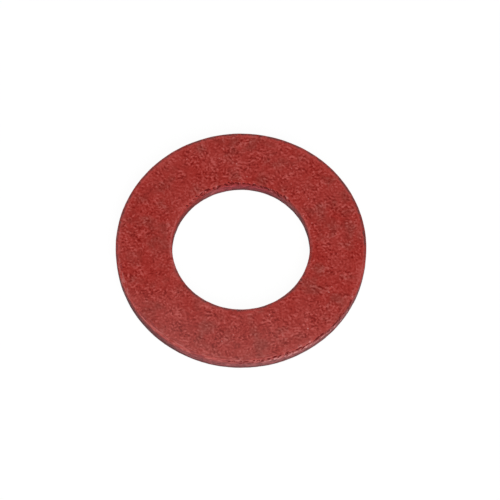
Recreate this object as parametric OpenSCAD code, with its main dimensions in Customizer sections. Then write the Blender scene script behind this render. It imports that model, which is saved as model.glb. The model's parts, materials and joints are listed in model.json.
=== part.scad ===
// Flat washer punched in one piece from red vulcanised fibre sheet.
// It lies flat: the seating face is on z = 0, and the bore's axis is the Z axis.

/* [Ring] */
// Outside diameter of the washer
outer_d = 24; // [18:0.5:40]
// Diameter of the bore
bore_d = 13.2; // [4:0.1:16]
// Thickness of the fibre sheet
thickness = 1.5; // [0.5:0.1:4]

/* [Punched edges] */
// Radius that the punch rolls on the upper rim and on the upper mouth of the bore
roll_r = 0.15; // [0.05:0.01:0.2]
// Radius left on the lower rim and on the lower mouth of the bore
break_r = 0.05; // [0.02:0.01:0.2]

/* [Hidden] */

// Circles are drawn with this many sides
$fn = 96;

outer_r = outer_d / 2;
bore_r = bore_d / 2;
band = outer_r - bore_r;

// How far a cutting shape runs past the surface that it cuts
cut_past = 0.5;

// What a rounded edge takes off a square corner at the origin, with the fibre in +X and +Y
module edge_waste(r) {
    difference() {
        translate([-cut_past, -cut_past]) square(cut_past + r);
        translate([r, r]) circle(r);
    }
}

// Half of the ring, cut through its axis: two flat faces, two straight punched walls, four rounded edges
module ring_section() {
    difference() {
        translate([bore_r, 0]) square([band, thickness]);
        translate([bore_r, 0]) edge_waste(break_r);
        translate([outer_r, 0]) mirror([1, 0]) edge_waste(break_r);
        translate([bore_r, thickness]) mirror([0, 1]) edge_waste(roll_r);
        translate([outer_r, thickness]) rotate(180) edge_waste(roll_r);
    }
}

module fibre_washer() {
    color("#9a3934") rotate_extrude() ring_section();
}

fibre_washer();
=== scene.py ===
# %% [markdown]
# # A red fibre washer
# The object is a flat sealing washer, punched from a sheet of red vulcanised fibre. That sheet is
# cotton paper, soaked, stacked and pressed until the layers fuse into one hard, felt-like board.
# This lesson loads the washer's exact solid, which gives its size and place, and then builds the
# surface that the eye sees: the pressed faces, the punched walls and the torn edges between them.

# %% Load the solid and read its sizes
import json
import math

import bpy
import numpy as np
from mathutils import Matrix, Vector


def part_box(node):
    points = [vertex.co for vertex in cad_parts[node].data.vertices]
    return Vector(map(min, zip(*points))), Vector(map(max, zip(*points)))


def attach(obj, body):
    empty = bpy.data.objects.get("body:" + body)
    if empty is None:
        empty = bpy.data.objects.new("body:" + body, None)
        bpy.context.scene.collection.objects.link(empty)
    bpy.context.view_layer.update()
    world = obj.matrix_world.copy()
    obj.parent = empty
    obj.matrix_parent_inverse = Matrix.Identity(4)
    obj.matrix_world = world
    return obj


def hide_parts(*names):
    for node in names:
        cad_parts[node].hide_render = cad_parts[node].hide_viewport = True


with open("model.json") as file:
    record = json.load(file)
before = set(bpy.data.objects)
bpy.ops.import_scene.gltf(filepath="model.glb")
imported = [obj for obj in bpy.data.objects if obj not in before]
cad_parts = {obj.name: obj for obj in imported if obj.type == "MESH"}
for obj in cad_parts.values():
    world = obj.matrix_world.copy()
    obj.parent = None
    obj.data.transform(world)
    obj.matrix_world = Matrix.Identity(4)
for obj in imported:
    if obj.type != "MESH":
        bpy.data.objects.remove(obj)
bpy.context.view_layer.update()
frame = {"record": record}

MM = 0.001  # the scene is in metres

low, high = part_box("fibre_washer")
mounts = {mount["name"]: mount for mount in frame["record"]["mounts"]}
outer_r = max(high.x - low.x, high.y - low.y) / 2
bore_r = mounts["bore"]["dims"]["r_mm"] * MM
sheet = high.z - low.z
print(f"outside {2 * outer_r / MM:.2f} mm, bore {2 * bore_r / MM:.2f} mm, sheet {sheet / MM:.2f} mm")

# %% [markdown]
# ## Where the camera stands
# The photograph looks down on the washer from the front. How round the rim's ellipse is gives the
# height of the camera, and how far the hole's ellipse sits from the rim's gives its distance. A long
# lens from that distance then makes the rim as wide in the frame as it is in the photograph. The
# camera aims at the middle of the upper face, and a small shift puts that point where it belongs.

# %% Make the camera
FRAME_PX = 500  # the photograph is square
RIM_RADIUS_PX = 125.38  # half the width of the upper face's rim
FACE_MIDDLE_PX = (240.99, 245.62)  # the middle of the upper face, from the left and from the top
CAMERA_HEIGHT_DEG = 65.75  # above the horizon
CAMERA_RANGE = 23.4 * outer_r

camera_data = bpy.data.cameras.new("camera")
camera = bpy.data.objects.new("camera", camera_data)
bpy.context.scene.collection.objects.link(camera)
bpy.context.scene.camera = camera

face_middle = Vector((0, 0, high.z))
height = math.radians(CAMERA_HEIGHT_DEG)
towards_camera = Vector((0, -math.cos(height), math.sin(height)))
camera.location = face_middle + CAMERA_RANGE * towards_camera
camera.rotation_euler = (-towards_camera).to_track_quat("-Z", "Y").to_euler()

px_per_metre = RIM_RADIUS_PX / outer_r
camera_data.lens = camera_data.sensor_width * px_per_metre * CAMERA_RANGE / FRAME_PX
camera_data.shift_x = (FRAME_PX / 2 - FACE_MIDDLE_PX[0]) / FRAME_PX
camera_data.shift_y = (FACE_MIDDLE_PX[1] - FRAME_PX / 2) / FRAME_PX
print(f"lens {camera_data.lens:.1f} mm at {CAMERA_RANGE:.3f} m")

# %% [markdown]
# ## Small helpers for node trees
# Materials here are built from nodes in code. A few helpers keep that short: one adds a node and
# fills its inputs by name, and the others add a Math node, a soft step between two values, or a
# blend of two colours.

# %% Write the node helpers


def fill(tree, socket, value):
    """Links a socket to another node's output, or sets it to a plain value."""
    if isinstance(value, bpy.types.NodeSocket):
        tree.links.new(value, socket)
    else:
        socket.default_value = value


def add_node(tree, kind, inputs=None, **settings):
    """Adds a shader node, with its settings by attribute and its inputs by name or number."""
    node = tree.nodes.new("ShaderNode" + kind)
    for name, value in settings.items():
        setattr(node, name, value)
    for name, value in (inputs or {}).items():
        fill(tree, node.inputs[name], value)
    return node


def maths(tree, operation, *values):
    """One Math node, and its answer."""
    inputs = dict(enumerate(values))
    return add_node(tree, "Math", inputs, operation=operation).outputs[0]


def soft_step(tree, value, start, end, low_side=0.0, high_side=1.0):
    """Goes from low_side to high_side along an S-curve as the value goes from start to end."""
    inputs = {"Value": value, "From Min": start, "From Max": end, "To Min": low_side, "To Max": high_side}
    return add_node(tree, "MapRange", inputs, interpolation_type="SMOOTHSTEP").outputs[0]


def blend_colour(tree, share, first, second, way="MIX"):
    """Blends two colours: the first where share is 0, and the second, their product or sum at 1."""
    inputs = {0: share, 6: first, 7: second}
    return add_node(tree, "Mix", inputs, data_type="RGBA", blend_type=way).outputs[2]


print("node helpers: add_node, maths, soft_step, blend_colour")

# %% [markdown]
# ## The table that it lies on
# The photograph's ground is plain white. A white floor under plain light comes out a little grey, so
# rays from the camera, and those that something glossy or clear sends on, see it with some light of
# its own added. What the lamps put on it is still there under that, so the washer keeps its soft
# shadow.

# %% Make the floor
FLOOR_REACH = 3.0
FLOOR_WHITE = (0.82, 0.82, 0.82, 1.0)  # as a lit surface
SHADOW_GREY = (0.07, 0.07, 0.07, 1.0)  # the part of its white that a shadow can take away
FLOOR_GLOW = 0.945  # the part that a shadow can't

floor_mesh = bpy.data.meshes.new("floor")
floor_corners = FLOOR_REACH * np.array([(-1, -1, 0), (1, -1, 0), (1, 1, 0), (-1, 1, 0)], float)
floor_mesh.from_pydata(floor_corners.tolist(), [], [(0, 1, 2, 3)])
floor = bpy.data.objects.new("floor", floor_mesh)
bpy.context.scene.collection.objects.link(floor)

floor_white = bpy.data.materials.new("floor_white")
floor_white.use_nodes = True
tree = floor_white.node_tree
tree.nodes.clear()
path = add_node(tree, "LightPath")
seen = maths(tree, "MAXIMUM", path.outputs["Is Camera Ray"], path.outputs["Is Glossy Ray"])
seen = maths(tree, "MAXIMUM", seen, path.outputs["Is Transmission Ray"])
lit = add_node(tree, "BsdfDiffuse", {"Color": FLOOR_WHITE})
shaded = add_node(tree, "BsdfDiffuse", {"Color": SHADOW_GREY})
glow = add_node(tree, "Emission", {"Strength": FLOOR_GLOW})
shown = add_node(tree, "AddShader", {0: shaded.outputs[0], 1: glow.outputs[0]})
either = add_node(tree, "MixShader", {0: seen, 1: lit.outputs[0], 2: shown.outputs[0]})
add_node(tree, "OutputMaterial", {"Surface": either.outputs[0]})
floor_mesh.materials.append(floor_white)
print(f"floor {2 * FLOOR_REACH:.0f} m across")

# %% [markdown]
# ## Plain soft light
# The face is evenly lit, and the wall is brighter where it turns to the right than where it turns to
# the left. So the room gives a little over half of the light from all round, and a wide soft box at
# the front right gives most of the rest. A second one hangs overhead. Their levels add up to about 1
# on a level surface, so a colour comes out about as it is written.

# %% Light the scene
ROOM_LEVEL = 0.42


def soft_box(name, azimuth_deg, height_deg, distance, width, watts):
    """A square area lamp that faces the washer. Azimuth 0 is at the camera's side, 90 at the right."""
    data = bpy.data.lights.new(name, "AREA")
    data.size = width
    data.energy = watts
    lamp = bpy.data.objects.new(name, data)
    bpy.context.scene.collection.objects.link(lamp)
    azimuth = math.radians(azimuth_deg)
    up = math.radians(height_deg)
    away = Vector((math.sin(azimuth) * math.cos(up), -math.cos(azimuth) * math.cos(up), math.sin(up)))
    lamp.location = distance * away
    lamp.rotation_euler = (-away).to_track_quat("-Z", "Y").to_euler()
    return lamp


soft_box("front_right_box", azimuth_deg=17, height_deg=38, distance=0.6, width=0.4, watts=2.9)
soft_box("overhead_box", azimuth_deg=150, height_deg=84, distance=0.6, width=0.5, watts=0.45)

room = bpy.data.worlds.new("room")
room.use_nodes = True
room.node_tree.nodes["Background"].inputs["Color"].default_value = (1, 1, 1, 1)
room.node_tree.nodes["Background"].inputs["Strength"].default_value = ROOM_LEVEL
bpy.context.scene.world = room
bpy.context.scene.view_settings.view_transform = "Standard"
print(f"room light {ROOM_LEVEL}, and {len(bpy.data.lights)} soft boxes")

# %% [markdown]
# ## Randomness that closes on itself
# Punching tears the fibre a little differently all the way round, so the edges need random heights
# that meet again after a full turn. Value noise does that: random heights stand on a lattice whose
# last column is its first, and a smooth curve blends between them.

# %% Write the noise


def ring_noise(turn, across, cells_round, cells_across, seed):
    """Random heights from -1 to 1 over turn (0 to 1 round the ring) and across (0 to 1).

    The four lattice heights round each point are blended with weights 3t^2 - 2t^3, where t is how
    far the point lies into its cell.
    """
    heights = np.random.default_rng(seed).uniform(-1, 1, (cells_round, cells_across + 1))
    u, v = np.broadcast_arrays(turn * cells_round, across * cells_across)
    column = np.floor(u).astype(int)
    row = np.clip(np.floor(v).astype(int), 0, cells_across - 1)
    s, t = u - column, v - row
    s, t = s * s * (3 - 2 * s), t * t * (3 - 2 * t)
    here, after = column % cells_round, (column + 1) % cells_round
    first = heights[here, row] * (1 - s) + heights[after, row] * s
    second = heights[here, row + 1] * (1 - s) + heights[after, row + 1] * s
    return first * (1 - t) + second * t


def round_only(turn, cell, radius, seed):
    """Noise along the ring alone, with cells of about that length at that radius."""
    return ring_noise(turn, np.zeros_like(turn), round(2 * math.pi * radius / cell), 1, seed)


def rise(value, start, end):
    """0 up to start and 1 from end, with the curve 3t^2 - 2t^3 between them."""
    t = np.clip((value - start) / (end - start), 0, 1)
    return t * t * (3 - 2 * t)


both_ends = round_only(np.array([0.0, 1.0]), MM, outer_r, seed=1)
print(f"noise along the rim starts at {both_ends[0]:.2f} and ends at {both_ends[1]:.2f}")

# %% [markdown]
# ## Angles round the ring
# Many marks on the real washer belong to one part of it: the front is rolled most, the near right is
# torn, and so on. So the grid's columns come first, with the angle of each, and a helper that is 1
# round a given angle and fades out on both sides. A part of the ring is then just a named pair of
# numbers, its middle angle and its reach.

# %% Lay out the columns
COLUMNS = 990
FULL_PART = 0.45  # the part of its reach over which a part of the ring keeps its full strength

turn = np.linspace(0, 1, COLUMNS, endpoint=False)[:, None]
angle_deg = 360 * turn  # 0 at the right, 90 at the back, 180 at the left and 270 at the front


def near_angle(middle_deg, reach_deg):
    """1 at the middle angle, falling to 0 at reach_deg on either side of it."""
    apart_deg = np.abs((angle_deg - middle_deg + 180) % 360 - 180)
    return 1 - rise(apart_deg, FULL_PART * reach_deg, reach_deg)


def near_angles(parts):
    """The sum of several parts of the ring, each given as its strength, middle angle and reach."""
    return sum(strength * near_angle(middle_deg, reach_deg) for strength, middle_deg, reach_deg in parts)


print(f"{COLUMNS} columns, one every {360 / COLUMNS:.2f} degrees")

# %% [markdown]
# ## The rolled edges
# A punch drags the skin of the sheet along as it cuts, so the upper edges come out rolled and the
# lower ones crisp. A Bevel modifier would give one radius all round. On the real ring it changes, so
# it is worked out for every column: larger where the punch pressed hardest, and uneven on the way.

# %% Roll the upper edges
ROLL_SMALL = 0.07 * MM  # what the punch rolls on the upper edges at the least
ROLL_MORE = 0.10 * MM  # what it adds where it pressed hardest
PRESSED_RIM = (265, 120)  # where that was
PRESSED_BORE = (95, 110)
ROLL_VARIES = 0.3  # how much of it comes and goes along the ring
ROLL_WAVE_RIM = 1.4 * MM  # and over what length
ROLL_WAVE_BORE = 1.2 * MM

pressed_rim = ROLL_SMALL + ROLL_MORE * near_angle(*PRESSED_RIM)
pressed_bore = ROLL_SMALL + ROLL_MORE * near_angle(*PRESSED_BORE)
roll_rim = pressed_rim * (1 + ROLL_VARIES * round_only(turn, ROLL_WAVE_RIM, outer_r, seed=1))
roll_bore = pressed_bore * (1 + ROLL_VARIES * round_only(turn, ROLL_WAVE_BORE, bore_r, seed=2))
print(f"rolled radius from {roll_rim.min() / MM:.2f} to {roll_rim.max() / MM:.2f} mm on the rim")

# %% [markdown]
# ## The section, carried round the ring
# The surface is a grid: one side runs once round the ring, and the other once round its section,
# along the lower face, up the rim's wall, back along the upper face and down the bore. A Screw
# modifier could spin one section round, but here the rolled radius changes, so the arcs are worked
# out for every column at once. Rows lie closest together along the edges, where the small shapes are.

# %% Work out the plain section
ROWS = {"lower_face": 8, "edge": 3, "rim_wall": 25, "roll": 7, "upper_face": 29, "bore_wall": 18}
BREAK_R = 0.02 * MM  # the radius that is left on the lower edges
FACE_CROWD = 0.85  # how much closer the faces' rows lie at their edges
WALL_CROWD = 0.5  # how much closer the walls' rows lie at the top


def steps(zone):
    """Even steps from 0 towards 1 along a zone of the section. The next zone starts at its end."""
    return np.linspace(0, 1, ROWS[zone], endpoint=False)[None, :]


def crowded(share):
    """Shares of the way across a face, moved towards both of its edges along a sine."""
    return share - FACE_CROWD * np.sin(2 * math.pi * share) / (2 * math.pi)


def arc(middle_r, middle_z, arc_r, start_deg, zone):
    """A quarter circle of the section that starts at start_deg, as radii and heights."""
    phi = np.radians(start_deg + 90 * steps(zone))
    return middle_r + arc_r * np.cos(phi), middle_z + arc_r * np.sin(phi)


def line(start, end, share):
    """Points from start to end at those shares of the way, for every column."""
    return start + (end - start) * share + np.zeros_like(turn)


under = crowded(steps("lower_face"))
over = crowded(steps("upper_face"))
rising = steps("rim_wall")
rising = rising * (1 + WALL_CROWD * (1 - rising))
falling = steps("bore_wall")
falling = falling * (1 - WALL_CROWD * (1 - falling))

zones = [
    (line(bore_r + BREAK_R, outer_r - BREAK_R, under), line(0, 0, under)),
    arc(outer_r - BREAK_R, BREAK_R + 0 * turn, BREAK_R, -90, "edge"),
    (line(outer_r, outer_r, rising), line(BREAK_R, sheet - roll_rim, rising)),
    arc(outer_r - roll_rim, sheet - roll_rim, roll_rim, 0, "roll"),
    (line(outer_r - roll_rim, bore_r + roll_bore, over), line(sheet, sheet, over)),
    arc(bore_r + roll_bore, sheet - roll_bore, roll_bore, 90, "roll"),
    (line(bore_r, bore_r, falling), line(sheet - roll_bore, BREAK_R, falling)),
    arc(bore_r + BREAK_R, BREAK_R + 0 * turn, BREAK_R, 180, "edge"),
]
radius = np.concatenate([np.broadcast_to(r, (COLUMNS, r.shape[1])) for r, z in zones], axis=1)
height_z = np.concatenate([np.broadcast_to(z, (COLUMNS, z.shape[1])) for r, z in zones], axis=1)
print(f"grid of {radius.shape[0]} columns by {radius.shape[1]} rows")

# %% [markdown]
# ## Distances for the masks
# What happened to the edges is written as masks over the grid, from 0 to about 1, because both the
# shape and the colours need them. A mask is a function of a few distances, so those come first: how
# far a corner of the grid lies from the nearest wall, and how far past the middle of the rolled edge.
# The far half of the rim and the near half of the bore are worn rather than torn.

# %% Measure the corners
WALL_FADES = (0.03 * MM, 0.09 * MM)  # over these distances from it the wall gives way to the face
ABOVE_LOWER = (0.2 * sheet, 0.4 * sheet)  # the lower face and its edges lie below these heights
UPPER_FROM = (0.75 * sheet, 0.92 * sheet)  # and the upper edges and the face above these
WORN_FROM = (-0.3, 0.1)  # how far back the rim's wear begins and is full, in radii
BORE_SPARED = ((0.8, 180, 30), (0.4, 0, 40))  # where the bore is worn less

from_rim = outer_r - radius
from_bore = radius - bore_r
at_rim = from_rim < from_bore
inset = np.minimum(from_rim, from_bore)
on_wall = 1 - rise(inset, *WALL_FADES)
upper = rise(height_z, *UPPER_FROM)
across_face = inset * rise(height_z, *ABOVE_LOWER)  # so that the lower face has no torn edges
over_edge = (sheet - height_z) - across_face  # 0 half way round the roll, and more down the wall
far = np.sin(np.radians(angle_deg))  # 1 at the back of the ring, -1 at the front
worn_rim = rise(far, *WORN_FROM)
worn_bore = rise(-far, *WORN_FROM)
worn = np.where(at_rim, worn_rim, worn_bore * (1 - near_angles(BORE_SPARED)))
print(f"{100 * on_wall.mean():.0f}% of the corners are on the walls")

# %% [markdown]
# ## Rows of marks
# Looking closely at the photograph, the upper edges aren't clean. Along the near right of the rim, and
# along the far side of the hole, the rolled lip has let go of the layers below it: under the lip runs
# a row of short dark slits, like stitches, and below them hang flecks of pale torn fibre. They could be
# modelled one by one. A row of cells, with chance deciding what stands in each, gives them all at once.

# %% Write a row of marks
MARK_PLACE = (0.3, 0.7)  # where in its cell a mark's middle may be
MARK_LENGTH = (0.35, 1.0)  # its length, in shares of the longest
MARK_END = (0.6, 1.3)  # where it starts to fade and ends, in half lengths
MARK_HEIGHT = (0.5, 1.3)  # its height, in shares of the usual one
MARK_KEPT = 0.15  # the damage, above a mark's random number, at which it is whole
STRAY = 0.16 * MM  # the height of the band over which the marks stray up and down
LEAN = 0.5  # how far it leans for each length down the wall
WANDER = 0.5  # how far slow noise moves it along the edge, in pitches
WANDER_LONG = 2.5  # the length of that noise's waves, in pitches
STRETCH_ON = (0.25, 0.75)  # heights of noise between which a stretch is switched on


def chance_stretches(edge_r, cell, seed):
    """Stretches along an edge that noise switches on and off, from 0 to 1."""
    return rise(round_only(turn, cell, edge_r, seed), *STRETCH_ON)


def between(limits, chance):
    """The lower limit where chance is 0, and the upper where it is 1."""
    return limits[0] + (limits[1] - limits[0]) * chance


def stitches(edge_r, pitch, longest, drop, half_height, damage, seed):
    """A row of short marks under an edge, as a mask over the grid.

    The edge is divided into cells, which slow noise makes longer or shorter and which hold one mark
    each. Chance gives the mark its place, length, level and height, and keeps it only where the
    damage is greater than a random number.
    Along the edge a mark is 1 up to about its half length. Across, it is exp(-(d/h)^4) at the
    distance d from its level, where h is half of its height.
    """
    length_round = 2 * math.pi * edge_r
    cells = round(length_round / pitch)
    aside, length, level, tall, kept = np.random.default_rng(seed).random((5, cells))
    wander = round_only(turn, WANDER_LONG * pitch, edge_r, seed + 50)
    moved = LEAN * over_edge + WANDER * pitch * wander
    leaning = (turn + moved / length_round) % 1 * cells
    cell = np.floor(leaning).astype(int) % cells
    from_middle = np.abs(leaning % 1 - between(MARK_PLACE, aside[cell]))
    half_length = longest * between(MARK_LENGTH, length[cell])
    along_edge = 1 - rise(from_middle, MARK_END[0] * half_length, MARK_END[1] * half_length)
    from_level = over_edge - drop - STRAY * (level[cell] - 0.5)
    down_wall = np.exp(-((from_level / (half_height * between(MARK_HEIGHT, tall[cell]))) ** 4))
    return along_edge * down_wall * rise(damage - kept[cell], 0, MARK_KEPT)


print(f"marks stray up to {STRAY / MM / 2:.2f} mm up or down")

# %% [markdown]
# ## Slits and flecks
# Where the lip let go, the wall is split right under it. The slits there are joined by a shallow
# groove, and a sparse row of smaller ones lies further down. The flecks are the ends of torn fibre.
# All of them are rows of marks of other sizes, so the one function above makes them.

# %% Write rows of slits and of flecks
SLIT_PITCH = 0.55 * MM  # from one slit to the next along an edge
SLIT_LONG = 0.52  # half of the longest slit's length, in pitches
LOWER_DROP = 0.32 * MM  # how far under the slits a second, sparse row lies
LOWER_SHARE = 0.55  # how many slits it has for each one above
LOWER_SIZE = 0.7  # and how large they are beside those
GROOVE = 0.38  # how deep the groove is that joins the slits, and how much painted shade it takes
FLECK_PITCH = 0.56 * MM  # from one fleck of torn fibre to the next
FLECK_LONG = 0.48  # half of the longest fleck's length, in pitches
FLECK_TALL = 0.15 * MM  # half of its height


def slit_rows(edge_r, drop, half_height, damage, seed):
    """A row of slits, the groove that joins them, and a sparse row of smaller slits under it.

    The groove is exp(-(d/h)^2) at the distance d from the slits' level, where h is half their height.
    """
    first = stitches(edge_r, SLIT_PITCH, SLIT_LONG, drop, half_height, damage, seed)
    pitch = LOWER_SIZE * SLIT_PITCH
    lower = drop + LOWER_DROP
    less = LOWER_SHARE * damage
    second = stitches(edge_r, pitch, SLIT_LONG, lower, LOWER_SIZE * half_height, less, seed + 1)
    groove = GROOVE * damage * np.exp(-(((over_edge - drop) / half_height) ** 2))
    return np.maximum(np.maximum(first, second), groove)


def fleck_row(edge_r, drop, share, seed):
    """A row of flecks of torn fibre."""
    return stitches(edge_r, FLECK_PITCH, FLECK_LONG, drop, FLECK_TALL, share, seed)


print(f"a slit every {SLIT_PITCH / MM} mm, a fleck every {FLECK_PITCH / MM} mm")

# %% [markdown]
# ## Where the rim's skin let go
# On the rim the tears run from the front to the right, and sink deeper into the wall towards their
# right end. Elsewhere a few stray ones come by chance. Flecks hang below the slits, and a few chips
# of pale fibre stand above them. How far the edge is damaged is one number for each column, and the
# rows follow it, so a whole tear can be moved by changing its middle angle.

# %% Tear the rim
RIM_TORN = (300, 50)
CHANCE_DAMAGE = 0.35  # how much damage chance makes elsewhere
CHANCE_CELL_RIM = 8 * MM
SLIT_TALL_RIM = 0.155 * MM  # half of a slit's height
SLIT_DROP_RIM = 0.04 * MM  # from the middle of the rolled edge down to the slits
SINK_RIM = 0.50 * MM  # how much deeper the flecks hang at the right end
SINK_ANGLES = (284, 330)
SLIT_SINK = 0.35  # how much of that the slits share
TALLER = 0.5  # and how much taller they are there
TALLER_ANGLES = (300, 325)
FLECK_DROP = 0.36 * MM  # down to the flecks that hang below the slits
RIM_HANGING = (304, 34)  # where they hang
CHIP_DROP = -0.17 * MM  # up to the chips that stand above the slits
RIM_CHIPS = 0.22  # how many chips the rim has for each place in their row
CHIP_PALE = 0.7  # how pale they are beside the flecks

rim_damage = CHANCE_DAMAGE * chance_stretches(outer_r, CHANCE_CELL_RIM, seed=11)
rim_damage = np.maximum(near_angle(*RIM_TORN), rim_damage) * (1 - worn_rim)
sink_rim = SINK_RIM * rise(angle_deg, *SINK_ANGLES)
drop_rim = SLIT_DROP_RIM + SLIT_SINK * sink_rim
tall_rim = SLIT_TALL_RIM * (1 + TALLER * rise(angle_deg, *TALLER_ANGLES))
rim_slit = slit_rows(outer_r, drop_rim, tall_rim, rim_damage, seed=21)
hanging = fleck_row(outer_r, FLECK_DROP + sink_rim, rim_damage * near_angle(*RIM_HANGING), seed=24)
chips = fleck_row(outer_r, CHIP_DROP, RIM_CHIPS * rim_damage, seed=25)
rim_fleck = np.maximum(hanging, CHIP_PALE * chips)
print(f"slits under {100 * (rim_slit.max(axis=1) > 0.5).mean():.0f}% of the rim's edge")

# %% [markdown]
# ## Where the bore's skin let go
# In the bore the tears lie at the back, where the camera looks into the hole. Their slits are taller
# than the rim's, and their flecks fewer and less pale. The same functions make them, with sizes of
# their own. In the end each corner of the grid takes the marks of the edge that it is nearer to.

# %% Tear the bore
BORE_TORN = (104, 50)
BORE_TORN_RIGHT = (68, 32)
RIGHT_DAMAGE = 0.75
CHANCE_CELL_BORE = 6 * MM
SLIT_TALL_BORE = 0.20 * MM
SLIT_DROP_BORE = 0.02 * MM
SINK_BORE = 0.13 * MM  # how much deeper the slits lie at the right half
BORE_SINKS = (76, 30)
BORE_CALM = (60, 26)  # where they are weaker
CALM_SHARE = 0.25
BORE_FLECKS = 0.30  # how many flecks the bore has for each one of the rim
BORE_CHIPS = 0.45  # how many chips it has for each place in their row
BORE_PALE = 0.42  # how pale both are beside the rim's

bore_damage = np.maximum(near_angle(*BORE_TORN), RIGHT_DAMAGE * near_angle(*BORE_TORN_RIGHT))
bore_chance = CHANCE_DAMAGE * chance_stretches(bore_r, CHANCE_CELL_BORE, seed=12)
bore_damage = np.maximum(bore_damage, bore_chance) * (1 - worn_bore)
drop_bore = SLIT_DROP_BORE + SINK_BORE * near_angle(*BORE_SINKS)
bore_slit = slit_rows(bore_r, drop_bore, SLIT_TALL_BORE, bore_damage, seed=31)
bore_slit = bore_slit * (1 - CALM_SHARE * near_angle(*BORE_CALM))
hanging = fleck_row(bore_r, FLECK_DROP, BORE_FLECKS * bore_damage, seed=34)
chips = fleck_row(bore_r, drop_bore + CHIP_DROP / 2, BORE_CHIPS * bore_damage, seed=35)
bore_fleck = BORE_PALE * np.maximum(hanging, chips)
slit = np.where(at_rim, rim_slit, bore_slit)
torn = np.where(at_rim, rim_fleck, bore_fleck)
print(f"slits under {100 * (bore_slit.max(axis=1) > 0.5).mean():.0f}% of the bore's edge")

# %% [markdown]
# ## The lip
# The punch burnished a narrow lip along both upper edges. It is brighter than the face, partly from
# that burnish and partly as a painted highlight where the rolled edge faces the light, and in parts it
# takes a whiter painted highlight. It could be a strip of mesh with a material of its own, but it fades
# out to both sides. So it is a bell curve across the edge, which moves in over the face where the edge
# is torn or worn.

# %% Mark the lip
LIP_HALF_WIDTH = 0.08 * MM
LIP_INSET = 0.06 * MM  # where the lip is pressed hardest
LIP_INSET_TORN = 0.14 * MM  # what is added where the lip has let go
LIP_INSET_WORN = 0.25 * MM  # what is added where its outside is worn
LIP_RIM, LIP_RIM_VARIES = 0.8, 0.2  # how strong it is on the rim, and how much that changes
LIP_RIM_WAVE = 2 * MM
LIP_RIM_RIGHT = (334, 26)
LIP_RIM_MORE, LIP_RIM_LESS = 0.4, 0.3  # what it gains there, and loses where the rim is torn
LIP_BORE, LIP_BORE_VARIES = 0.25, 0.4  # and the same in the bore
LIP_BORE_CELL = 3 * MM
LIP_BORE_MORE = ((0.4, 182, 30), (0.5, 118, 24), (0.1, 30, 26), (0.35, 150, 22))
LIP_BORE_LEFT = (165, 40)
LEFT_SHARE = 0.5  # how far the bore's lip has let go there
HIGHLIGHT_RIM = 0.15  # how strong the lip's whiter painted highlight is all round the rim
HIGHLIGHT_RIM_MORE = ((0.5, 238, 66), (0.3, 332, 26))
HIGHLIGHT_BORE = ((1, 182, 40), (0.3, 5, 40), (0.4, 240, 30), (0.5, 118, 22), (0.3, 150, 22), (0.7, 30, 26))

lip_rim = LIP_RIM + LIP_RIM_VARIES * round_only(turn, LIP_RIM_WAVE, outer_r, seed=14)
lip_rim = lip_rim + LIP_RIM_MORE * near_angle(*LIP_RIM_RIGHT) - LIP_RIM_LESS * rim_damage
lip_bore = LIP_BORE + LIP_BORE_VARIES * chance_stretches(bore_r, LIP_BORE_CELL, seed=13)
lip_bore = lip_bore + near_angles(LIP_BORE_MORE)
highlight_rim = HIGHLIGHT_RIM + near_angles(HIGHLIGHT_RIM_MORE)
let_go_rim = rim_damage + near_angle(*LIP_RIM_RIGHT)
let_go_bore = bore_damage + LEFT_SHARE * near_angle(*LIP_BORE_LEFT)
lip_inset = LIP_INSET + LIP_INSET_WORN * worn
lip_inset = lip_inset + LIP_INSET_TORN * np.where(at_rim, let_go_rim, let_go_bore)
lip_shape = np.exp(-(((over_edge + lip_inset) / LIP_HALF_WIDTH) ** 2))
lip = np.where(at_rim, lip_rim, lip_bore) * lip_shape
# The lip's whiter painted highlight.
lip_highlight = np.clip(np.where(at_rim, highlight_rim, near_angles(HIGHLIGHT_BORE)), 0, 1) * lip
print(f"lip up to {lip.max():.2f}, whitened up to {lip_highlight.max():.2f}")

# %% [markdown]
# ## Margin, scratches and painted shade line
# Beside the lip the face has a smoother margin, and along the near left of the rim it was scratched
# later. At the far rim and the near side of the bore, a dark line of painted shade runs along the
# outside of the lip, where the edge turns away from the light. All three are functions of the distance
# from the wall, so they follow the edges by themselves.

# %% Mark the margin, the scratched part and the painted shade line
MARGIN_RIM = 0.65 * MM
MARGIN_BORE = 0.30 * MM
MARGIN_VARIES = 0.5
MARGIN_WAVE = 6 * MM
MARGIN_FADES = (0.4, 1.3)  # where it starts to fade and ends, in widths
MARGIN_LEAST = 0.35  # what is left of it where chance switches it off
MARGIN_CELL = 4 * MM
SCRATCHED = (236, 85)
SCRATCHED_FADES = (0.2 * MM, 0.6 * MM)
# The dark line is painted shade along the outside of the lip.
LINE_WIDTH = 0.31 * MM
LINE_START = 0.14 * MM  # from the wall to where the line is darkest
LINE_DROP = 0.25 * MM
LINE_FADES = 0.4  # the share of its width and of its drop at which it starts to fade

margin_varies = 1 + MARGIN_VARIES * round_only(turn, MARGIN_WAVE, outer_r, seed=15)
margin_width = np.where(at_rim, MARGIN_RIM, MARGIN_BORE) * margin_varies
margin = upper * (1 - rise(inset, MARGIN_FADES[0] * margin_width, MARGIN_FADES[1] * margin_width))
margin = margin * between((MARGIN_LEAST, 1), chance_stretches(outer_r, MARGIN_CELL, seed=16))
scratched = upper * (1 - rise(inset, *SCRATCHED_FADES)) * np.where(at_rim, near_angle(*SCRATCHED), 0)
edge_shade_line = worn * (1 - rise(inset, LINE_FADES * LINE_WIDTH, LINE_WIDTH)) * rise(inset, 0, LINE_START)
edge_shade_line = edge_shade_line * rise(height_z, sheet - LINE_DROP, sheet - LINE_FADES * LINE_DROP)
print(f"margin up to {margin.max():.2f}, worn line up to {edge_shade_line.max():.2f}")
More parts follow.
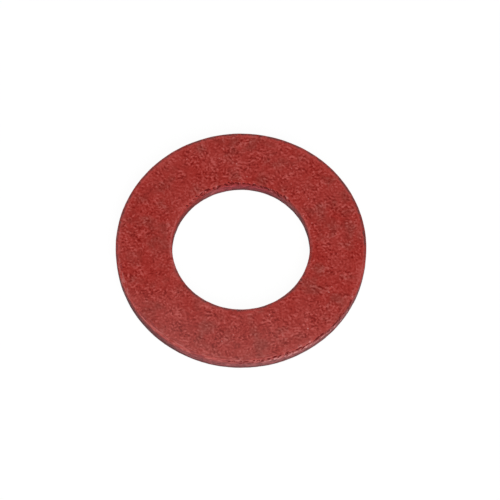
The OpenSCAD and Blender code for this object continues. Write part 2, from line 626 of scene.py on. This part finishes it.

# %% [markdown]
# ## Walls and foot
# The cut walls have scuffed, ruddy and plum-coloured parts, and their foot takes painted shade, which
# reaches higher at the sides of the ring and most on its left, away from the light. A gradient texture
# could darken the foot evenly. As a mask, its height can change along the ring, as the shade does on
# the real one.

# %% Mark the walls
SCUFFED_RIM = 0.65  # how scuffed the rim's wall is all round
SCUFFED_RIM_MORE = 0.35
SCUFFED_RIM_PART = (300, 48)
SCUFFED_BORE = ((0.7, 120, 26), (1, 28, 32))
RUDDY_BORE = (148, 35)
PLUM_BORE = (88, 32)
# The foot is painted shade: the shade near the floor, and on the walls that face away from the light.
FOOT_HEIGHT = 0.70 * MM
FOOT_SIDES = 0.8  # how much higher the foot reaches at the sides of the ring
FOOT_HIGHER = ((1.2, 210, 40), (0.6, 150, 40), (-0.4, 118, 25), (0.3, 84, 34))
FOOT_BELOW = -0.15  # the height under the floor at which it would be darkest, in foot heights
FOOT_RUBBED = 0.1  # how much of it the scuffs take off
FOOT_SOLE = 0.75  # how dark it is at the very bottom
FOOT_SOLE_HEIGHT = 0.2 * MM

scuffed_rim = SCUFFED_RIM + SCUFFED_RIM_MORE * rim_damage * near_angle(*SCUFFED_RIM_PART)
scuffed = on_wall * np.where(at_rim, scuffed_rim, near_angles(SCUFFED_BORE))
ruddy = on_wall * np.where(at_rim, 0, near_angle(*RUDDY_BORE))
plum = on_wall * np.where(at_rim, 0, near_angle(*PLUM_BORE))
foot_height = FOOT_HEIGHT * (1 + FOOT_SIDES * (1 - np.abs(far)) + near_angles(FOOT_HIGHER))
foot = on_wall * (1 - rise(height_z, FOOT_BELOW * foot_height, foot_height))
foot = foot * (1 - FOOT_RUBBED * scuffed) * between((FOOT_SOLE, 1), rise(height_z, 0, FOOT_SOLE_HEIGHT))
print(f"foot up to {foot.max():.2f}, scuffs up to {scuffed.max():.2f}")

# %% [markdown]
# ## Shape the torn edges
# The masks now move the surface. A slit cuts into the wall, torn fibre frays in and out, and so do
# the layers of the sheet, as fine ridges. The face is pressed almost flat, and dips a little along
# its margins. On the whole the walls stay where they were, so the ring keeps its size.

# %% Move the surface
SLIT_DEPTH = 0.08 * MM
FRAY = 0.03 * MM
FRAY_IN = 0.3  # how far in the torn fibre lies on the whole, in shares of that
PLY = 0.010 * MM
FINE_PLY = 0.6  # how strong the finer ridges are beside the coarse ones
PLY_CELLS, FINE_PLY_CELLS, FRAY_CELLS = (90, 9), (260, 18), (430, 20)  # round the ring and up the wall
FACE_WAVE = 0.006 * MM
FACE_CELLS = (26, 3)
MARGIN_DIP = 0.012 * MM

up_wall = np.clip(height_z / sheet, 0, 1)
ply = ring_noise(turn, up_wall, *PLY_CELLS, seed=41)
ply = ply + FINE_PLY * ring_noise(turn, up_wall, *FINE_PLY_CELLS, seed=42)
fray = ring_noise(turn, up_wall, *FRAY_CELLS, seed=43)
into_wall = on_wall * (PLY * ply + FRAY * torn * (FRAY_IN + fray)) + SLIT_DEPTH * slit
outward = np.where(at_rim, 1.0, -1.0)
radius = radius - outward * into_wall
wave = ring_noise(turn, from_bore / (outer_r - bore_r), *FACE_CELLS, seed=51)
height_z = height_z + upper * (FACE_WAVE * (wave - 1) - MARGIN_DIP * margin)
print(f"deepest slit {into_wall.max() / MM:.2f} mm")

# %% [markdown]
# ## From arrays to a mesh
# The grid becomes quads: each corner joins its neighbour round the ring and its neighbour along the
# section, and both directions close on themselves, so the skin has no seam and no open edge. The
# volume inside it shows that its faces point outwards, and that it is still the solid's size.

# %% Make the mesh
columns, rows = radius.shape
angle = 2 * math.pi * turn
places = np.stack([radius * np.cos(angle), radius * np.sin(angle), height_z], axis=-1)

column, row = np.meshgrid(np.arange(columns), np.arange(rows), indexing="ij")
corner_columns = np.stack([column, column + 1, column + 1, column], axis=-1).reshape(-1, 4)
corner_rows = np.stack([row, row, row + 1, row + 1], axis=-1).reshape(-1, 4)
quads = (corner_columns % columns) * rows + corner_rows % rows

washer_mesh = bpy.data.meshes.new("washer")
washer_mesh.vertices.add(columns * rows)
washer_mesh.vertices.foreach_set("co", places.ravel())
washer_mesh.loops.add(quads.size)
washer_mesh.loops.foreach_set("vertex_index", quads.ravel())
washer_mesh.polygons.add(len(quads))
washer_mesh.polygons.foreach_set("loop_start", np.arange(0, quads.size, 4))
washer_mesh.polygons.foreach_set("use_smooth", np.ones(len(quads), bool))
washer_mesh.update(calc_edges=True)
washer_mesh.validate()

# A quad's share of the volume is the cross product of its diagonals times its middle, over 6
a, b, c, d = (places.reshape(-1, 3)[quads[:, k]] for k in range(4))
volume = (np.cross(c - a, d - b) * (a + b + c + d)).sum() / (4 * 6)
print(f"{2 * len(quads)} triangles around {volume / MM**3:.1f} cubic millimetres")

# %% [markdown]
# ## A map for baking
# When the part is exported, its finish is baked into a square picture. Smart UV Project would cut the
# skin into many islands. Cut open at one radius and one more opposite, and along the inner edge of
# the lower face, it unrolls into two even strips, which fill the square with hardly any stretch.

# %% Lay out the map
STRIP_MARGIN = 0.012

half_columns = columns // 2
strip = np.repeat(column.reshape(-1, 1) // half_columns, 4, axis=1)
section = np.stack([radius.mean(axis=0), height_z.mean(axis=0)], axis=-1)
step_lengths = np.linalg.norm(np.roll(section, -1, axis=0) - section, axis=1)
along_section = np.concatenate([[0], np.cumsum(step_lengths)]) / step_lengths.sum()
map_u = (corner_columns - strip * half_columns) / half_columns
map_u = STRIP_MARGIN / 2 + (1 - STRIP_MARGIN) * map_u
map_v = (strip + STRIP_MARGIN + (1 - 2 * STRIP_MARGIN) * along_section[corner_rows]) / 2
bake_map = washer_mesh.uv_layers.new(name="OFBake")
bake_map.data.foreach_set("uv", np.stack([map_u, map_v], axis=-1).ravel())
print(f"the section is {step_lengths.sum() / MM:.1f} mm round")

# %% [markdown]
# ## The masks go along
# The material will need the masks, so they are kept with the mesh as attributes of its points. They
# could be painted as vertex colours, but a colour has only a few channels, and each attribute has a
# name. Then the mesh becomes an object, which stands for the solid and rides on its body.

# %% Keep the masks and place the washer
masks = {"wall": on_wall, "slit": slit, "torn": torn, "lip": lip, "margin": margin}
masks |= {"edge_shade_line": edge_shade_line, "foot": foot, "scuffed": scuffed, "lip_highlight": lip_highlight}
masks |= {"scratched": scratched, "ruddy": ruddy, "plum": plum}
for name, values in masks.items():
    layer = washer_mesh.attributes.new(name, "FLOAT", "POINT")
    layer.data.foreach_set("value", values.ravel())

washer = bpy.data.objects.new("washer", washer_mesh)
bpy.context.scene.collection.objects.link(washer)
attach(washer, "root")
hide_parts("fibre_washer")
print("masks:", ", ".join(masks))

# %% [markdown]
# ## Felt in a node group
# Vulcanised fibre shows its cotton: short strands, pale or dark, that lie in all directions. Gabor
# noise suits them. It scatters small patches of waves, and each patch has its own direction. The tops
# of the waves become pale strands and the hollows dark ones, so most strands have one of the other
# kind beside them. A slow noise turns the direction from place to place. As a group this can be used
# several times, with other sizes.

# %% Build the strand group
SWING = 7.0  # how far the slow noise turns the strands at the most, in radians
SWING_SIZE = 1.4  # the size of its waves, in millimetres
ORDER = 0.47  # 0 lets each patch of waves choose its direction, 1 makes neighbours agree


def strand_group():
    """Pale and dark strands: 0 up to From above or below the middle of the waves, and 1 from To on."""
    group = bpy.data.node_groups.new("felted_strands", "ShaderNodeTree")
    group.interface.new_socket("Place", in_out="INPUT", socket_type="NodeSocketVector")
    for name in ("Direction", "Length", "Width", "From", "To", "Seed"):
        group.interface.new_socket(name, in_out="INPUT", socket_type="NodeSocketFloat")
    for name in ("Pale", "Dark"):
        group.interface.new_socket(name, in_out="OUTPUT", socket_type="NodeSocketFloat")
    given = group.nodes.new("NodeGroupInput").outputs
    result = group.nodes.new("NodeGroupOutput").inputs

    seed = given["Seed"]
    aside = add_node(group, "CombineXYZ", {"X": seed, "Y": seed, "Z": seed}).outputs[0]
    start = add_node(group, "VectorMath", {0: given["Place"], 1: aside}, operation="ADD").outputs[0]
    slow = {"Vector": start, "Scale": 1 / SWING_SIZE, "Detail": 1.0}
    slow = add_node(group, "TexNoise", slow).outputs[0]
    swing = maths(group, "MULTIPLY", maths(group, "SUBTRACT", slow, 0.5), SWING)
    inputs = {"Vector": start, "Scale": maths(group, "DIVIDE", 1.0, given["Length"])}
    inputs |= {"Frequency": maths(group, "DIVIDE", given["Length"], given["Width"])}
    inputs |= {"Anisotropy": ORDER, "Orientation": maths(group, "ADD", swing, given["Direction"])}
    waves = add_node(group, "TexGabor", inputs, gabor_type="2D").outputs["Value"]
    height = maths(group, "SUBTRACT", waves, 0.5)
    depth = maths(group, "SUBTRACT", 0.5, waves)
    group.links.new(soft_step(group, height, given["From"], given["To"]), result["Pale"])
    group.links.new(soft_step(group, depth, given["From"], given["To"]), result["Dark"])
    return group


felted_strands = strand_group()
print("strand group:", [item.name for item in felted_strands.interface.items_tree])

# %% [markdown]
# ## The material and its noises
# Everything about the finish is one material. Its patterns lie in space, on Object coordinates turned
# into millimetres, so they run on from the face over the edges without a seam. A few helpers make
# noises and strands of a given size, and read the masks that came along with the mesh.

# %% Begin the material
TILT = (0.6, 0.4, 0.9)  # turns most noises, so that they don't line up with the face

red_fibre = bpy.data.materials.new("red_fibre")
red_fibre.use_nodes = True
tree = red_fibre.node_tree
shader = tree.nodes["Principled BSDF"]
at = add_node(tree, "TexCoord").outputs["Object"]
place = add_node(tree, "VectorMath", {0: at, "Scale": 1 / MM}, operation="SCALE").outputs[0]
tilt = {"Vector": place, "Rotation": TILT}
tilted = add_node(tree, "VectorRotate", tilt, rotation_type="EULER_XYZ").outputs[0]


def noise(size, detail=0.0, stretch=(1, 1, 1), start=tilted):
    """Noise with features of about that many millimetres, squeezed by the stretch."""
    squeezed = add_node(tree, "VectorMath", {0: start, 1: stretch}, operation="MULTIPLY").outputs[0]
    inputs = {"Vector": squeezed, "Scale": 1 / size, "Detail": detail}
    return add_node(tree, "TexNoise", inputs).outputs[0]


def strands(direction_deg, length, width, edge, seed):
    """One layer of strands from the group, pale and dark, with sizes in millimetres."""
    node = add_node(tree, "Group", node_tree=felted_strands)
    inputs = {"Place": place, "Direction": math.radians(direction_deg), "Length": length}
    inputs |= {"Width": width, "From": edge[0], "To": edge[1], "Seed": seed}
    for name, value in inputs.items():
        fill(tree, node.inputs[name], value)
    return node.outputs["Pale"], node.outputs["Dark"]


def mask(name, strength=1.0):
    """A mask that came along with the mesh."""
    value = add_node(tree, "Attribute", attribute_name=name).outputs["Fac"]
    return maths(tree, "MULTIPLY", value, strength)


def step(value, start, end, low_side=0.0, high_side=1.0):
    """A soft step in this material."""
    return soft_step(tree, value, start, end, low_side, high_side)


def times(first, second):
    """The product of two values."""
    return maths(tree, "MULTIPLY", first, second)


def add_share(total, value, share):
    """The total with a share of the value added to it."""
    return maths(tree, "MULTIPLY_ADD", value, share, total)


def about_zero(value, strength):
    """A noise moved from its middle of 0.5 to 0, and made that many times as strong."""
    return times(maths(tree, "SUBTRACT", value, 0.5), strength)


print(f"material with {len(tree.nodes)} nodes to begin with")

# %% [markdown]
# ## The pressed face
# The board is dyed through, so one red runs through it all, and the felt only makes it lighter or
# darker. How light a spot is comes from a sum: a fine grain, soft lumps, pale and dark strands of
# several sizes, and small dots. A single noise would look like cloud or sand, and not like cotton.

# %% Sum up how light each spot is
# Sizes are in millimetres. A step names the two heights of noise between which it goes, and then its
# two ends where those aren't 0 and 1.
GRAIN_SIZE, GRAIN_SHARE = 0.21, 0.46
LUMP_SIZE, LUMP_SHARE = 0.8, 0.62
BLOT_SIZE, BLOT_SHARE = 1.5, 0.24
DOT_SIZE, DOT_SHARE = 0.23, 0.25
DOT_STRETCH = (1.1, 1, 0.9)
DARK_DOTS, PALE_DOTS = (0.36, 0.22), (0.64, 0.78)
STRAND_DEG = 65
STRAND_EDGE = (0.04, 0.20)  # from where to where a strand rises out of the waves
FINE, SECOND, COARSE = (0.62, 0.30), (0.70, 0.36), (0.80, 0.50)  # lengths and widths of strands
PALE_SHARE, DARK_SHARE, COARSE_SHARE = 0.165, 0.19, 0.20
HAIR_DEG = 50
HAIR, HAIR_EDGE, HAIR_SHARE = (1.5, 0.34), (0.17, 0.26), 0.20
PATCH_SIZE, PATCH_STEP = 0.6, (0.36, 0.64, 0.45, 1.5)  # where the grain is weaker or stronger
BUSY_SIZE, BUSY_STEP = 1.2, (0.36, 0.66, 0.7, 1.4)  # and where the whole sum is

pale, dark = strands(STRAND_DEG, *FINE, STRAND_EDGE, seed=7.7)
other_pale, other_dark = strands(STRAND_DEG, *SECOND, STRAND_EDGE, seed=15.1)
coarse_pale, coarse_dark = strands(STRAND_DEG, *COARSE, STRAND_EDGE, seed=1.3)
hairs, _ = strands(HAIR_DEG, *HAIR, HAIR_EDGE, seed=4.1)
blots = noise(BLOT_SIZE, detail=2.0)
dots = noise(DOT_SIZE, stretch=DOT_STRETCH)
patches = step(noise(PATCH_SIZE, detail=1.0), *PATCH_STEP)
busy = step(noise(BUSY_SIZE, detail=1.0), *BUSY_STEP)

felt = times(about_zero(noise(GRAIN_SIZE, detail=1.5), GRAIN_SHARE), patches)
felt = maths(tree, "ADD", felt, about_zero(noise(LUMP_SIZE, detail=1.0), LUMP_SHARE))
felt = maths(tree, "ADD", felt, about_zero(blots, BLOT_SHARE))
felt = add_share(felt, pale, PALE_SHARE)
felt = add_share(felt, dark, -DARK_SHARE)
felt = add_share(felt, other_pale, PALE_SHARE)
felt = add_share(felt, other_dark, -DARK_SHARE)
felt = add_share(felt, coarse_pale, COARSE_SHARE)
felt = add_share(felt, coarse_dark, -COARSE_SHARE)
felt = add_share(felt, hairs, HAIR_SHARE)
felt = add_share(felt, step(dots, *DARK_DOTS), -DOT_SHARE)
felt = add_share(felt, step(dots, *PALE_DOTS), DOT_SHARE)
felt = times(felt, busy)
print(f"felt: {len(tree.nodes)} nodes")

# %% [markdown]
# ## From light and dark to reds
# Dyed cotton doesn't just darken in its hollows: the red gets deeper there, and a little pink on the
# pale strands. A colour ramp with three stops turns the sum into a deep, a plain or a pale red. The
# burnished margin and the walls show less of the felt.

# %% Turn lightness into reds
RED_DEEP = (0.212, 0.003, 0.001, 1.0)
RED = (0.347, 0.0255, 0.0190, 1.0)
RED_PALE = (0.49, 0.083, 0.073, 1.0)
MARGIN_CALM, WALL_CALM = 0.75, 0.25  # how much of the felt shows on the margin and on the walls
MARGIN_LIGHT = 0.08  # how much lighter the margin is

calm = times(step(mask("margin"), 0.0, 1.0, 1.0, MARGIN_CALM), step(mask("wall"), 0.0, 1.0, 1.0, WALL_CALM))
lightness = maths(tree, "ADD", times(felt, calm), 0.5)
lightness = maths(tree, "ADD", lightness, mask("margin", MARGIN_LIGHT))
ramp = add_node(tree, "ValToRGB", {"Fac": lightness})
ramp.color_ramp.elements[0].color = RED_DEEP
ramp.color_ramp.elements[1].color = RED_PALE
ramp.color_ramp.elements.new(0.5).color = RED
print("ramp stops:", [round(stop.position, 2) for stop in ramp.color_ramp.elements])

# %% [markdown]
# ## Clouds, painted sheen and specks
# Soft brownish clouds lie in the face, a painted sheen over its near side, a faint haze in patches all
# over it, and here and there a pale speck. The clouds multiply the red, because a stain takes light
# away. The sheen and the haze are added to it, as light given back. The specks simply cover it.

# %% Add the clouds, the painted sheen and the specks
BROWN_TINT = (0.81, 1.02, 0.99, 1.0)
SHEEN_AND_MIST = (0.004, 0.026, 0.024, 1.0)  # painted sheen and haze, as light that it adds
SPECK = (0.56, 0.18, 0.165, 1.0)
CLOUD_SIZE, CLOUD_STEP = 3.4, (0.7, 0.3, 0.7, 1.0)
MIST_SIZE, MIST_STEP = 2.6, (0.35, 0.65, 0.0, 0.22)
MIST_STRETCH = (1.2, 1, 1)
SPECK_SIZE, SPECK_STEP = 0.27, (0.83, 0.90)
BROWN_STEP = (0.47, 0.63)
SHEEN_FROM, SHEEN_FULL = -3.5, -12.0  # where the painted sheen begins and is full, in millimetres in front of the middle
SHEEN_SLANT = 0.15  # how much the painted sheen leans to the left
MARGIN_BROWN = 0.3  # how much of the brown shows on the margin

clouds = noise(CLOUD_SIZE, detail=3.0)
mist = noise(MIST_SIZE, detail=2.0, stretch=MIST_STRETCH)
browned = maths(tree, "ADD", times(blots, 0.5), times(clouds, 0.5))
brown = times(step(browned, *BROWN_STEP), step(mask("margin"), 0.0, 1.0, 1.0, MARGIN_BROWN))
brown = blend_colour(tree, brown, (1, 1, 1, 1), BROWN_TINT)
face = blend_colour(tree, 1.0, ramp.outputs[0], brown, "MULTIPLY")
apart = add_node(tree, "SeparateXYZ", {0: place}).outputs
# Painted sheen that grows towards the front of the face, and a faint haze in patches.
in_front = maths(tree, "MULTIPLY_ADD", apart["X"], SHEEN_SLANT, apart["Y"])
sheen_and_mist = times(step(in_front, SHEEN_FROM, SHEEN_FULL), step(clouds, *CLOUD_STEP))
sheen_and_mist = maths(tree, "ADD", sheen_and_mist, step(mist, *MIST_STEP))
face = blend_colour(tree, sheen_and_mist, face, SHEEN_AND_MIST, "ADD")
face = blend_colour(tree, step(noise(SPECK_SIZE), *SPECK_STEP), face, SPECK)
print(f"face: {len(tree.nodes)} nodes")

# %% [markdown]
# ## Punched walls
# The punched walls are duller than the face and show the layers as streaks along the sheet. Noise
# that is squeezed in height gives such streaks. The walls could have a second material, but one
# material that blends by the mask of the walls has no hard line at the lip.

# %% Colour the walls
# The dull, red and scuffed wall colours are greyer than the face. This is partly their own cut colour and
# partly a painted reflection of the white floor, which the walls' high roughness keeps out of the gloss.
WALL_DULL = (0.22, 0.042, 0.047, 1.0)
WALL_RED = (0.31, 0.057, 0.062, 1.0)
WALL_RUDDY = (0.28, 0.026, 0.022, 1.0)
WALL_PLUM = (0.275, 0.037, 0.047, 1.0)
WALL_SCUFFED = (0.255, 0.085, 0.084, 1.0)
RUDDY_SHARE, PLUM_SHARE = 0.85, 0.8
LAYER_SIZE, MOTTLE_SIZE, STREAK_SIZE = 0.7, 0.8, 0.6
LAYER_STRETCH, MOTTLE_STRETCH, STREAK_STRETCH = (1, 1, 6), (1, 1, 3.2), (1.2, 1, 3.0)
PATCHY_STEP = (0.36, 0.64)
SCUFF_STEP = (0.36, 0.62, 0.35, 1.0)
STREAK_STEP = (0.3, 0.7, 0.55, 1.45)
LIP_FROM, LIP_FULL = 0.75, 1.4  # heights in millimetres between which the wall gives way to the lip
LIP_SHARE = 0.35  # how much of the wall's colour is left on it

layers = noise(LAYER_SIZE, detail=2.0, stretch=LAYER_STRETCH, start=place)
mottle = noise(MOTTLE_SIZE, detail=2.0, stretch=MOTTLE_STRETCH, start=place)
streaks = noise(STREAK_SIZE, detail=2.0, stretch=STREAK_STRETCH, start=place)
patchy = maths(tree, "ADD", times(layers, 0.5), times(mottle, 0.5))
wall = blend_colour(tree, step(patchy, *PATCHY_STEP), WALL_DULL, WALL_RED)
wall = blend_colour(tree, times(mask("scuffed"), step(layers, *SCUFF_STEP)), wall, WALL_SCUFFED)
wall = blend_colour(tree, mask("ruddy", RUDDY_SHARE), wall, WALL_RUDDY)
wall = blend_colour(tree, mask("plum", PLUM_SHARE), wall, WALL_PLUM)
wall = blend_colour(tree, 1.0, wall, step(streaks, *STREAK_STEP), "MULTIPLY")
below_lip = step(apart["Z"], LIP_FROM, LIP_FULL, 1.0, LIP_SHARE)
surface = blend_colour(tree, times(mask("wall"), below_lip), face, wall)
print(f"face and walls: {len(tree.nodes)} nodes")

# %% [markdown]
# ## Pale lip and dark line
# The lip takes a paler red, partly burnish and partly painted highlight, and a whiter painted
# highlight in parts. A dark line of painted shade runs along its outside, and thin scratches run along
# the near left. A noise breaks up each mask, so that none of them looks drawn with a ruler. The
# scratches follow the rim, so their noise is laid out round the ring instead of along straight axes.

# %% Colour the lip, the scratches and the painted shade line
LIP_RED = (0.45, 0.046, 0.038, 1.0)
# LIP_PALE is the colour of the lip's painted highlight and of the pale scratches.
LIP_PALE = (0.46, 0.118, 0.108, 1.0)
EDGE_SHADE_DARK = (0.078, 0.042, 0.042, 1.0)
UNEVEN_SIZE, UNEVEN_STEP = 0.32, (0.32, 0.64, 0.1, 1.1)
SHADE_BREAK_SIZE, SHADE_BREAK_STEP = 0.42, (0.32, 0.68, 0.35, 1.5)
SCRATCH_LENGTH = 0.9 * MM
SCRATCH_WIDTH = 0.11 * MM
PALE_SCRATCHES, DARK_SCRATCHES = (0.52, 0.62), (0.43, 0.33)
SCORED_SHARE = 0.8
LINE_SHARE = 0.6

uneven = step(noise(UNEVEN_SIZE, detail=1.0), *UNEVEN_STEP)
# The lip's lighter red is partly burnish and partly painted highlight. Its whiter part is painted
# highlight.
surface = blend_colour(tree, times(mask("lip"), uneven), surface, LIP_RED)
surface = blend_colour(tree, times(mask("lip_highlight"), uneven), surface, LIP_PALE)

# The scratches are a noise that is long round the ring and short outwards
level = add_node(tree, "VectorMath", {0: place, 1: (1, 1, 0)}, operation="MULTIPLY").outputs[0]
from_axis = add_node(tree, "VectorMath", {0: level}, operation="LENGTH").outputs["Value"]
direction = add_node(tree, "VectorMath", {0: level}, operation="NORMALIZE").outputs[0]
long_way = {0: direction, "Scale": outer_r / SCRATCH_LENGTH}
long_way = add_node(tree, "VectorMath", long_way, operation="SCALE").outputs[0]
short_way = maths(tree, "DIVIDE", from_axis, SCRATCH_WIDTH / MM)
short_way = add_node(tree, "CombineXYZ", {"Z": short_way}).outputs[0]
both_ways = add_node(tree, "VectorMath", {0: long_way, 1: short_way}, operation="ADD").outputs[0]
scratches = add_node(tree, "TexNoise", {"Vector": both_ways, "Scale": 1.0, "Detail": 1.0}).outputs[0]
rubbed = times(mask("scratched"), step(scratches, *PALE_SCRATCHES))
surface = blend_colour(tree, rubbed, surface, LIP_PALE)
scored = times(mask("scratched", SCORED_SHARE), step(scratches, *DARK_SCRATCHES))
surface = blend_colour(tree, scored, surface, WALL_DULL)
# The painted shade line along the outside of the lip, broken up by noise.
shade_breakup = step(noise(SHADE_BREAK_SIZE, detail=1.0), *SHADE_BREAK_STEP)
surface = blend_colour(tree, times(mask("edge_shade_line", LINE_SHARE), shade_breakup), surface, EDGE_SHADE_DARK)
print(f"face, walls and lip: {len(tree.nodes)} nodes")

# %% [markdown]
# ## Torn fibre, foot and slits
# Below the slits hang shreds of pale torn fibre. The foot of the walls takes painted shade, and so do
# the ragged gaps of the slits, where the red is nearly black. They come last, over all the rest, and
# the slits at the very end, because a gap is dark whatever its edges look like.

# %% Colour the torn fibre, the foot and the slits
TORN_PALE = (0.64, 0.28, 0.27, 1.0)
FOOT_SHADE = (0.070, 0.028, 0.030, 1.0)
SLIT_SHADE = (0.105, 0.003, 0.003, 1.0)
SHRED_SIZE, SHRED_STEP = 0.34, (0.40, 0.58, 0.05, 1.0)
SHRED_STRETCH = (1, 1, 2.4)
FOOT_SHADE_STEP = (0.3, 0.7, 1.15, 0.65)
RAGGED_SIZE, RAGGED_STEP = 0.17, (0.3, 0.7, 0.35, 1.65)
GAP_STEP = (0.22, 0.65, 0.0, 0.95)

shreds = step(noise(SHRED_SIZE, detail=2.0, stretch=SHRED_STRETCH, start=place), *SHRED_STEP)
surface = blend_colour(tree, times(mask("torn"), shreds), surface, TORN_PALE)
# Painted shade at the foot of the walls, broken up by the walls' mottle.
foot_shade_breakup = step(mottle, *FOOT_SHADE_STEP)
surface = blend_colour(tree, times(mask("foot"), foot_shade_breakup), surface, FOOT_SHADE)
# Painted shade in the ragged gaps of the slits, where the red is nearly black.
ragged = step(noise(RAGGED_SIZE, detail=1.0, start=place), *RAGGED_STEP)
slit_shade_share = step(times(mask("slit"), ragged), *GAP_STEP)
surface = blend_colour(tree, slit_shade_share, surface, SLIT_SHADE)
tree.links.new(surface, shader.inputs["Base Color"])
print(f"face and edges: {len(tree.nodes)} nodes")

# %% [markdown]
# ## Gloss and relief
# Pressed fibre has a low, uneven gloss, a little stronger in its dark hollows and weakest on the
# punched walls and in the slits. The grain and the strands stand up from the face by about a
# hundredth of a millimetre, which is too fine for the grid, so a Bump node gives that relief.

# %% Finish the material
ROUGH_STEP = (0.2, 0.8, 0.50, 0.66)  # from the dark hollows to the pale strands
ROUGH_CUT = 0.88  # the punched walls
SHINE = 0.13
RELIEF = 0.03 * MM
RELIEF_STRENGTH = 0.5

roughness = step(lightness, *ROUGH_STEP)
roughness = maths(tree, "MAXIMUM", roughness, mask("slit"))
roughness = maths(tree, "MAXIMUM", roughness, mask("wall", ROUGH_CUT))
tree.links.new(roughness, shader.inputs["Roughness"])
shader.inputs["Specular IOR Level"].default_value = SHINE

bump = add_node(tree, "Bump", {"Strength": RELIEF_STRENGTH, "Distance": RELIEF, "Height": lightness})
tree.links.new(bump.outputs[0], shader.inputs["Normal"])
washer_mesh.materials.append(red_fibre)
print(f"red fibre: {len(tree.nodes)} nodes")
